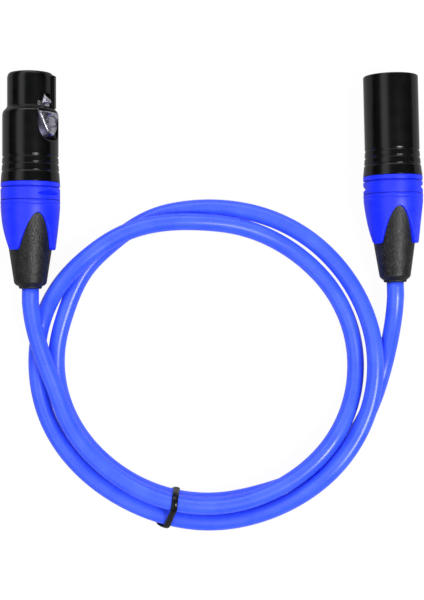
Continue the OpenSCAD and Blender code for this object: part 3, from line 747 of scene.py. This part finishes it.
def carve(piece, shells, place):
    """Takes each shell out of the piece, and applies it."""
    for shell in shells:
        tool = make("cutter", [shell], piece.data.materials[0], place)
        modifier = piece.modifiers.new("carve", "BOOLEAN")
        modifier.operation, modifier.solver, modifier.object = "DIFFERENCE", "EXACT", tool
        view = bpy.context.evaluated_depsgraph_get()
        mesh = bpy.data.meshes.new_from_object(piece.evaluated_get(view))
        piece.modifiers.remove(modifier)
        old, piece.data = piece.data, mesh
        bpy.data.meshes.remove(old)
        bpy.data.objects.remove(tool)


def female_shell():
    outline = divided(outline_of("female"), ((GROOVED_TO, 0.14), (13.5, 0.5), (39, 0.22), (math.inf, 0.5)))
    shell = turned(outline, fan(0.85, 2.4, [(16, 100)]), female_shape)
    piece = make("female_shell", [shell], SIDES["female"]["shell"], FEMALE)
    pocket = []
    for t in steps(0.0, math.pi, 40):
        x = POCKET_HALF * math.copysign(abs(math.cos(t)) ** (2 / 3), math.cos(t))
        pocket.append((x, POCKET_FRONT - POCKET_LEN * math.sin(t) ** (2 / 3)))
    # room for the crossbar's end below the rib, which bridges it
    arch = [(1.85, WINDOW_FLOOR), (4.2, WINDOW_FLOOR)]
    arch += [(x, math.sqrt(7.95 ** 2 - x * x)) for x in (4.2, 3.4, 2.6, 1.85)]
    turns = [2 * math.pi * k / 24 for k in range(24)]
    hole = [(HINGE_Y + HINGE_R * math.sin(a), HINGE_Z + HINGE_R * math.cos(a)) for a in turns]
    carve(piece, [
        lofted([[(x, y, z) for x, y in pocket] for z in (5.2, CUT_TOP)]), slab(*BAR_WINDOW),
        lofted([[(x, y, z) for x, z in arch] for y in BAR_WINDOW[2:]]), slab(*HOOK_WINDOW),
        lofted([[(x, y, z) for y, z in hole] for x in (-5.92, 5.92)]),
    ], KEYED)
    sharpen(piece, SHELL_CREASE)
    return piece


def male_shape(angle, r, y):
    if r > 8.8 and y < GROOVED_TO:
        return r - groove(y), y
    if r < 8.8 and y > 21.5:
        psi = off_turn(angle, -RIB_ANGLE)
        if abs(psi) < 0.3:
            inside = smooth((1.3 - abs(r * math.sin(psi))) / 0.18)
            r += (9.15 / math.cos(psi) - r) * inside * smooth((y - 21.8) / 0.2)
        phi = off_turn(angle, 0)
        if abs(phi) < 0.5:
            inside = smooth(min(2.2 - abs(r * math.sin(phi) + HOOK_X), y - 30.7, 34.2 - y) / 0.2)
            r += (9.15 / math.cos(phi) - r) * max(0.0, inside)
    return r, y


def male_shell():
    outline = divided(outline_of("male"), ((GROOVED_TO, 0.14), (20.5, 0.8), (math.inf, 0.30)))
    shell = turned(outline, fan(1.0, 2.4, [(0, 26), (324, 360)]), male_shape)
    return make("male_shell", [shell], SIDES["male"]["shell"], MALE, SHELL_CREASE)


# ---- boots ----

def coding_ring(side, place, notch):
    def shape(angle, r, y):
        if r < 9:
            return r, y
        turn = math.radians((angle - notch + 90) % 180 - 90)
        dy = abs(y + 4.1)
        if dy < 1.05:
            bed = 9.15 + 1.2 * (smooth(dy / 1.05) * 0.35 + dy / 1.05 * 0.65)
            r = min(r, bed / math.cos(turn))
        return r, y

    outline = filleted([
        (7.68, -6.2, 0.0), (10.35, -6.2, 0.22), (10.35, -2.10, 0.12), (9.94, -1.86, 0.08), (9.94, -1.68, 0.08),
        (10.35, -1.44, 0.12), (10.35, -0.02, 0.16), (7.68, -0.02, 0.0),
    ])
    shell = turned(divided(outline, ((-5.4, 0.4), (-2.8, 0.12), (math.inf, 0.4))), 240, shape)
    return make(f"{side}_ring_blue", [shell], SIDES[side]["boot"], place, 50)


TIP_Y, TIP_R, VEE_Y, VEE_OPEN = -23.6, 1.0, -10.8, 1.79
SLIM = {"female": 0.0, "male": 0.28}


def tail_radius(y):
    return 9.4 + (5.55 - 9.4) * (-y + VEE_Y) / (BOOT_LEN - 1.2 + VEE_Y)


def collar_radius(y):
    return SEAM_R + (8.75 - SEAM_R) * max(0.0, (-y - 7.5) / 16.1) ** 1.35


def collar_end(turn):
    """Where the collar ends, so far round from a V: a parabola, the tongue's corner and its tip."""
    corner = VEE_OPEN * math.sqrt(VEE_Y - TIP_Y - TIP_R) + TIP_R
    y = VEE_Y
    for _ in range(14):
        w = collar_radius(y) * math.sin(turn)
        if w < corner - TIP_R:
            found = VEE_Y - (w / VEE_OPEN) ** 2
        elif w < corner:
            found = TIP_Y + TIP_R - math.sqrt(TIP_R ** 2 - (corner - w) ** 2)
        else:
            found = TIP_Y
        y = (y + max(found, TIP_Y)) / 2
    return y


BEAD_Y, EDGE_R = -7.5, 0.34


def collar_outside(y, slim):
    """The collar's radius below its bead; a slim one draws in over the next 9 mm."""
    return collar_radius(y) - slim * smooth((BEAD_Y - y) / 9)


def boot_collar(side, place, vee_angle):
    count, slim = 540, SLIM[side]
    angles = [k * 360 / count for k in range(count)]
    ends = [collar_end(abs(math.radians((a - vee_angle + 60) % 120 - 60))) for a in angles]
    inner = tail_radius(-9.6) - slim - 0.2
    rows = []
    for k, a in enumerate(angles):
        c, s = unit(a)
        end = ends[k]
        run = collar_radius(end) * math.radians(2 * 360 / count)
        slope = (ends[(k + 1) % count] - ends[k - 1]) / run
        wide = EDGE_R * min(math.sqrt(1 + slope * slope), 3.2)
        stop = end + wide
        column = [
            (7.7, -6.22), (10.02, -6.22), (10.28, -6.30), (10.4, -6.50), (10.4, BEAD_Y + 0.12), (10.36, BEAD_Y),
            (10.24, BEAD_Y - 0.06), (10.22, BEAD_Y - 0.22), (10.34, BEAD_Y - 0.42),
        ]
        column += [(collar_outside(y, slim) - 0.01, y) for y in steps(BEAD_Y - 0.55, stop, 26)]
        for q in steps(15, 90, 5):
            q = math.radians(q)
            y = stop - wide * math.sin(q)
            column.append((collar_outside(y, slim) - EDGE_R * (1 - math.cos(q)), y))
        foot = tail_radius(end) - slim - 0.2
        column += [((column[-1][0] + foot) / 2, end), (foot, end), (min(foot, inner), -9.6), (7.7, -9.3)]
        rows.append([(r * s, y, r * c) for r, y in column])
    skirt = [p for row in rows for p in row], quads(count, len(rows[0]), ring=True)
    web = filleted([
        (6.2, 6.1, 0.1), (7.3, 6.1, 0.1), (7.6, 5.8, 0.1), (7.6, -6.2, 0.0), (8.2, -6.2, 0.0),
        (8.2, -13.5, 0.1), (3.3, -13.5, 0.1), (3.3, -12.3, 0.0), (4.55, -12.3, 0.0), (6.2, -8.1, 0.0),
    ])
    return make(f"{side}_collar_blue", [skirt, turned(web, 72)], SIDES[side]["boot"], place, 55)


def boot_tail(side, place):
    end, slim = -BOOT_LEN, SLIM[side]
    outline = filleted([
        (8.22, -9.8, 0.0), (tail_radius(-9.8) - slim, -9.8, 0.1),
        (tail_radius(end + 1.9) - slim, end + 1.9, 0.9),
        (tail_radius(end + 1.2) - 0.75 - slim, end + 1.12, 0.5),
        (4.35, end + 1.05, 0.18), (4.05, end + 0.72, 0.12), (4.0, end + 0.28, 0.2), (3.72, end, 0.15),
        (3.35, end, 0.15), (3.3, end + 0.6, 0.1), (3.3, -13.52, 0.0), (8.22, -13.52, 0.0),
    ], arc=6)
    shell = turned(divided(outline, ((math.inf, 0.6),)), 144)
    return make(f"{side}_tail_rubber", [shell], SIDES[side]["tail"], place, 60)


# ---- latch ----

FLANK_HALF, FLANK_LEN, FLANK_R = 5.2, 9.1, 8.45


def tab_height(x, y):
    """Radius of the tab's top: a rounded rim, a sunk field and a dish for the thumb in it."""
    g = (y - TAB_BACK) / TAB_LEN - (x / TAB_HALF) ** 2
    side = g / math.hypot(1 / TAB_LEN, 2 * x / TAB_HALF ** 2)
    edge = max(0.0, min(side, TAB_FRONT - y))
    top = 9.88 - 0.30 * (1 - min(edge / 0.34, 1.0)) ** 2
    field = smooth((edge - 0.50) / 0.42) * smooth((TAB_FRONT - 0.3 - y) / 1.3)
    pad = 1 - smooth((math.hypot((x - 0.5) / 1.7, y - 20.9) - 1.70) / 0.26)
    return top - 0.22 * field - 0.34 * pad


def tab_shell():
    across, along = 44, 44
    top, under = [], []
    for j in range(along + 1):
        v = 1 - (j / along) * 0.995
        for i in range(across + 1):
            u = math.sin((i / across * 2 - 1) * math.pi / 2)
            x = u * TAB_HALF * v
            y = min(TAB_BACK + TAB_LEN * v * v, TAB_FRONT)
            top.append((x, y, math.sqrt(tab_height(x, y) ** 2 - x * x)))
            flank = u * FLANK_HALF * (1 - (1 - v * v) ** 3) ** (1 / 3)
            drop = FLANK_LEN * (1 - v * v)
            under.append((flank, TAB_FRONT - drop, math.sqrt(FLANK_R ** 2 - flank ** 2)))
    n, half = across + 1, len(top)
    faces = quads(along + 1, n, round_it=False)
    faces += [tuple(half + i for i in reversed(face)) for face in faces]
    border = list(range(n)) + [j * n + across for j in range(1, along + 1)]
    border += [along * n + i for i in range(across - 1, -1, -1)] + [j * n for j in range(along - 1, 0, -1)]
    faces += [(a, b, half + b, half + a) for a, b in zip(border, border[1:] + border[:1])]
    return top + under, faces


def hook_shell():
    """The tooth: a leaf-shaped ramp, steep behind and drawn to a point in front."""
    along, across = 26, 16
    rows = []
    for j in range(along + 1):
        t = j / along
        y = 27.3 + 3.1 * t
        left = HOOK_X - 1.0 + 0.2 * t * t
        right = HOOK_X + 1.9 - 2.6 * smooth((t - 0.12) / 0.88) ** 1.3
        crest = 8.97 if t < 0.34 else 8.97 - 1.10 * ((t - 0.34) / 0.66) ** 1.15
        crest -= 0.35 * max(0.0, 1 - t / 0.09) ** 2
        top, foot = [], []
        for i in range(across + 1):
            u = i / across
            x = left + (right - left) * u
            drop = 0.28 * (1 - min(1.0, min(u, 1 - u) * 6)) ** 2
            top.append((x, y, crest - drop - 0.02 * x * x))
            foot.append((x, y, 5.62))
        rows.append(top + foot[::-1])
    return lofted(rows, folded=True)


def soft_box(low, high, edge=0.18):
    """A block with chamfered edges."""
    work = bmesh.new()
    bmesh.ops.create_cube(work, size=1.0)
    for v in work.verts:
        v.co = Vector([(a + b) / 2 + c * (b - a) for c, a, b in zip(v.co, low, high)])
    bmesh.ops.bevel(work, geom=list(work.edges), offset=edge, segments=2, affect="EDGES", profile=0.5)
    work.verts.index_update()
    points = [tuple(v.co) for v in work.verts]
    faces = [tuple(v.index for v in f.verts) for f in work.faces]
    work.free()
    return points, faces


def latch():
    xs = steps(-4.1, 4.1, 26)
    arc = [(x, math.sqrt(7.76 ** 2 - x * x)) for x in xs]
    arc += [(x, math.sqrt(6.92 ** 2 - x * x)) for x in xs[::-1]]
    crossbar = lofted([[(x, y, z) for x, z in arc] for y in (26.35, 27.95)], folded=True)
    tube = filleted([(HINGE_R, -2.8, 0.0), (1.0, -2.8, 0.12), (1.0, 2.8, 0.12), (HINGE_R, 2.8, 0.0)])
    hub_points, hub_faces = turned(tube, 36)
    hub = [(y, HINGE_Y + x, HINGE_Z + z) for x, y, z in hub_points], hub_faces
    return make("latch_chrome", [
        tab_shell(), hook_shell(), crossbar, hub,
        soft_box((-2.4, 16.9, 6.6), (2.4, 24.0, 8.3)), soft_box((-2.4, 22.0, 5.6), (2.4, 24.0, 8.1)),
        soft_box((-1.9, 22.0, 5.6), (1.9, 28.0, 6.6)),
        soft_box((HOOK_X - 1.9, 26.35, 5.6), (HOOK_X + 1.9, 27.6, 7.1)),
    ], latch_finish, KEYED, 46)


# ---- cores, shields and the latch's spring ----

def new_tree(name, inputs):
    """A Geometry Nodes tree: its inputs' sockets, a function that adds a node, and one that ends the tree."""
    tree = bpy.data.node_groups.new(name, "GeometryNodeTree")
    for key, kind in inputs.items():
        tree.interface.new_socket(key, in_out="INPUT", socket_type="NodeSocket" + kind)
    tree.interface.new_socket("Geometry", in_out="OUTPUT", socket_type="NodeSocketGeometry")
    given = tree.nodes.new("NodeGroupInput").outputs

    def add(kind, *values, settings=(), **named):
        made = tree.nodes.new(kind)
        for key, value in settings:
            setattr(made, key, value)
        slots = list(zip(made.inputs, values))
        slots += [(made.inputs[key.replace("_", " ")], value) for key, value in named.items()]
        for socket, value in slots:
            if isinstance(value, bpy.types.NodeSocket):
                tree.links.new(value, socket)
            else:
                socket.default_value = value
        return made.outputs[0]

    def end(shape):
        real = add("GeometryNodeRealizeInstances", shape)
        painted = add("GeometryNodeSetMaterial", Geometry=real, Material=given["Finish"])
        tree.links.new(painted, tree.nodes.new("NodeGroupOutput").inputs[0])
        return tree

    return given, add, end


def strands_tree():
    """A bundle of round strands laid round a path, twisted as they go."""
    given, add, end = new_tree("twisted_strands", {
        "Geometry": "Geometry", "Strands": "Int", "Strand radius": "Float", "Bundle radius": "Float",
        "Twist": "Float", "Finish": "Material",
    })
    line = add("GeometryNodeMeshToCurve", Mesh=given["Geometry"])
    multiply = (("operation", "MULTIPLY"),)
    twist = add("ShaderNodeMath", add("GeometryNodeInputIndex"), given["Twist"], settings=multiply)
    tilted = add("GeometryNodeSetCurveTilt", Curve=line, Tilt=twist)
    ring = add("GeometryNodeCurvePrimitiveCircle", Resolution=given["Strands"], Radius=given["Bundle radius"])
    dots = add("GeometryNodeCurveToPoints", Curve=ring, settings=(("mode", "EVALUATED"),))
    strand = add("GeometryNodeCurvePrimitiveCircle", Resolution=8, Radius=given["Strand radius"])
    bundle = add("GeometryNodeInstanceOnPoints", Points=dots, Instance=strand)
    profile = add("GeometryNodeRealizeInstances", bundle)
    return end(add("GeometryNodeCurveToMesh", Curve=tilted, Profile_Curve=profile, Fill_Caps=True))


def spring_tree():
    """A coil spring of round wire, from its turns, radius and height."""
    given, add, end = new_tree("coil_spring", {
        "Turns": "Float", "Turn radius": "Float", "Height": "Float", "Wire radius": "Float",
        "Place": "Vector", "Turn": "Vector", "Finish": "Material",
    })
    coil = add("GeometryNodeCurveSpiral", Resolution=28, Rotations=given["Turns"], Height=given["Height"],
               Start_Radius=given["Turn radius"], End_Radius=given["Turn radius"])
    wire = add("GeometryNodeCurvePrimitiveCircle", Resolution=10, Radius=given["Wire radius"])
    tube = add("GeometryNodeCurveToMesh", Curve=coil, Profile_Curve=wire, Fill_Caps=True)
    return end(add("GeometryNodeTransform", Geometry=tube, Translation=given["Place"], Rotation=given["Turn"]))


def grown(name, mesh, tree, values):
    """Runs a Geometry Nodes tree on a mesh and keeps the result as a plain one."""
    seed = bpy.data.objects.new(name + "_seed", mesh)
    scene.collection.objects.link(seed)
    modifier = seed.modifiers.new("grow", "NODES")
    modifier.node_group = tree
    names = {item.name: item.identifier for item in tree.interface.items_tree if item.in_out == "INPUT"}
    for key, value in values.items():
        modifier[names[key]] = value
    view = bpy.context.evaluated_depsgraph_get()
    result = bpy.data.meshes.new_from_object(seed.evaluated_get(view))
    bpy.data.objects.remove(seed)
    work = bmesh.new()
    work.from_mesh(result)
    bmesh.ops.remove_doubles(work, verts=work.verts, dist=1e-7)
    bmesh.ops.recalc_face_normals(work, faces=work.faces)
    work.to_mesh(result)
    work.free()
    for face in result.polygons:
        face.use_smooth = len(face.vertices) == 4
    made = bpy.data.objects.new(name, result)
    scene.collection.objects.link(made)
    return made


CONTACT_R = 3.7
CONTACTS = [(CONTACT_R * x, CONTACT_R * z) for x, z in map(unit, (165, 15, -90))]


def core_path(side, place, index, cup_y):
    to = Vector(CONTACTS[index])
    if side == "male":
        to.x = -to.x
    start = to.normalized() * 0.96
    low, reach = 3.6, cup_y - 3.6
    points = [Vector((start.x, 3.0, start.y)), Vector((start.x, 3.3, start.y))]
    for k in range(1, 25):
        at = start.lerp(to, smooth(k / 24))
        points.append(Vector((at.x, low + reach * k / 24, at.y)))
    points.append(Vector((to.x, cup_y + 2.4, to.y)))
    return [place @ p for p in points]


def wires(side, place, cup_y):
    made = []
    for index, name, finish in ((1, "core_red", red_finish), (2, "core_white", white_finish)):
        shell = swept(core_path(side, place, index, cup_y), 0.78, 16)
        made.append((make(f"{side}_{name}_wire", [shell], finish, crease=60), f"{side}_{name}", name))
    line = [tuple(p * MM) for p in round_curve(core_path(side, place, 0, cup_y), 0.3)]
    mesh = bpy.data.meshes.new(f"{side}_shield_line")
    mesh.from_pydata(line, [(i, i + 1) for i in range(len(line) - 1)], [])
    piece = grown(f"{side}_shield_strands", mesh, strands, {
        "Strands": 8, "Strand radius": 0.21 * MM, "Bundle radius": 0.55 * MM, "Twist": 0.22,
        "Finish": copper_finish,
    })
    made.append((piece, f"{side}_shield_tail", "shield"))
    return made


strands = strands_tree()
dressed = [
    (female_shell(), "female_housing female_nose_shell", "shell", "root"),
    (male_shell(), "male_housing", "shell", "root"),
    (latch(), "latch_lever", "latch", "latch"),
]
for side, place, notch, vee in (("female", FEMALE, 48.5, 23.2), ("male", MALE, 90.0, 5.0)):
    dressed += [
        (coding_ring(side, place, notch), f"{side}_coding_ring", "boot", f"{side}_ring"),
        (boot_collar(side, place, vee), f"{side}_boot_collar", "boot", f"{side}_boot"),
        (boot_tail(side, place), f"{side}_boot_tail", "tail", f"{side}_boot"),
    ]
for side, place, cup_y in (("female", KEYED, 12.0), ("male", MALE, 9.5)):
    dressed += [(piece, node, slot, "root") for piece, node, slot in wires(side, place, cup_y)]

spring_low = KEYED @ Vector((0, 19.2, 4.54))
spring = grown("latch_coil_spring", bpy.data.meshes.new("spring_seed"), spring_tree(), {
    "Turns": 3.0, "Turn radius": 1.38 * MM, "Height": 1.82 * MM, "Wire radius": 0.19 * MM,
    "Place": tuple(spring_low * MM), "Turn": (0.0, math.radians(LATCH_ANGLE), 0.0),
    "Finish": SIDES["female"]["steel"],
})
dressed.append((spring, "latch_spring", "steel", "root"))

for piece, nodes, slot, body in dressed:
    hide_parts(*nodes.split())
    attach(piece, body)
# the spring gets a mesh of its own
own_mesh(spring)

# The nodes that stay get their finish
KEPT = {
    "insert": ["insert"], "contact": ["contact"], "steel": ["ground_clip", "latch_pin"], "chuck": ["chuck"],
    "jacket": ["cable_end"],
}
replaced = {node for _, nodes, _, _ in dressed for node in nodes.split()}
replaced |= {"cable_lead_female", "cable_coil", "cable_lead_male", "cable_tie"}
for node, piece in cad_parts.items():
    if node in replaced:
        continue
    side = "male" if node.startswith(("male", "pin")) else "female"
    slot = next(key for key, words in KEPT.items() if any(word in node for word in words))
    piece.data.materials.clear()
    piece.data.materials.append(SIDES[side][slot])


# ---- floor, world and lamps ----

def lay_floor():
    mesh = bpy.data.meshes.new("floor")
    far, low = 3.0, -0.00015
    corners = [(-far, -far, low), (far, -far, low), (far, far, low), (-far, far, low)]
    mesh.from_pydata(corners, [], [(0, 1, 2, 3)])
    material = bpy.data.materials.new("floor_white")
    material.use_nodes = True
    s = Sheet(material.node_tree)
    rays = s.tree.nodes.new("ShaderNodeLightPath").outputs
    mirrored = Value(s, rays["Is Glossy Ray"])
    seen = Value(s, rays["Is Camera Ray"]) + mirrored + Value(s, rays["Is Transmission Ray"])
    lit = s.node("ShaderNodeBsdfDiffuse", {}, (0.86, 0.86, 0.87))
    plain = s.node("ShaderNodeEmission", {}, (1.0, 1.0, 1.0), 1.0 - 0.65 * mirrored)
    s.node("ShaderNodeOutputMaterial", {}, s.node("ShaderNodeMixShader", {}, seen * 0.95, lit, plain))
    mesh.materials.append(material)
    floor = bpy.data.objects.new("floor", mesh)
    scene.collection.objects.link(floor)


def light_world():
    world = bpy.data.worlds.new("studio")
    world.use_nodes = True
    scene.world = world
    s = Sheet(world.node_tree)
    rays = s.tree.nodes.new("ShaderNodeLightPath").outputs
    direction = s.node("ShaderNodeTexCoord", {}, out="Generated")
    x, y, z = s.parts(direction)
    across = x / z.math("MAXIMUM", z, 0.02)
    strip = (across + 1.60).over(0.0, 0.75) * (1.0 - (across + 0.62).over(0.0, 0.42))
    strip = strip * (1.0 - abs(y).over(0.70, 0.95))
    back = y.over(0.60, 0.85) * z.over(0.20, 0.34) * (1.0 - z.over(0.60, 0.80))
    level = 0.055 * z.over(0.05, 0.80) + strip * 0.95 + back * 2.4
    camera = Value(s, rays["Is Camera Ray"])
    level = level * (1.0 - camera) + camera
    s.node("ShaderNodeOutputWorld", {}, s.node("ShaderNodeBackground", {}, (1.0, 1.0, 1.0), level))


def hang_lamp(name, size, at, target, power):
    lamp = bpy.data.lights.new(name, "AREA")
    lamp.shape, lamp.size, lamp.energy = "DISK", size, power
    made = bpy.data.objects.new(name, lamp)
    made.location = at
    made.rotation_euler = (Vector(target) - Vector(at)).to_track_quat("-Z", "Y").to_euler()
    scene.collection.objects.link(made)
    return made


lay_floor()
light_world()
hang_lamp("key", 0.46, (0.60, -0.36, 1.15), (0, -0.03, 0), 12.0)
tent = hang_lamp("tent", 3.2, (0, -0.03, 1.5), (0, -0.03, 0), 34.0)
tent.visible_glossy = False
scene.view_settings.view_transform = "Standard"
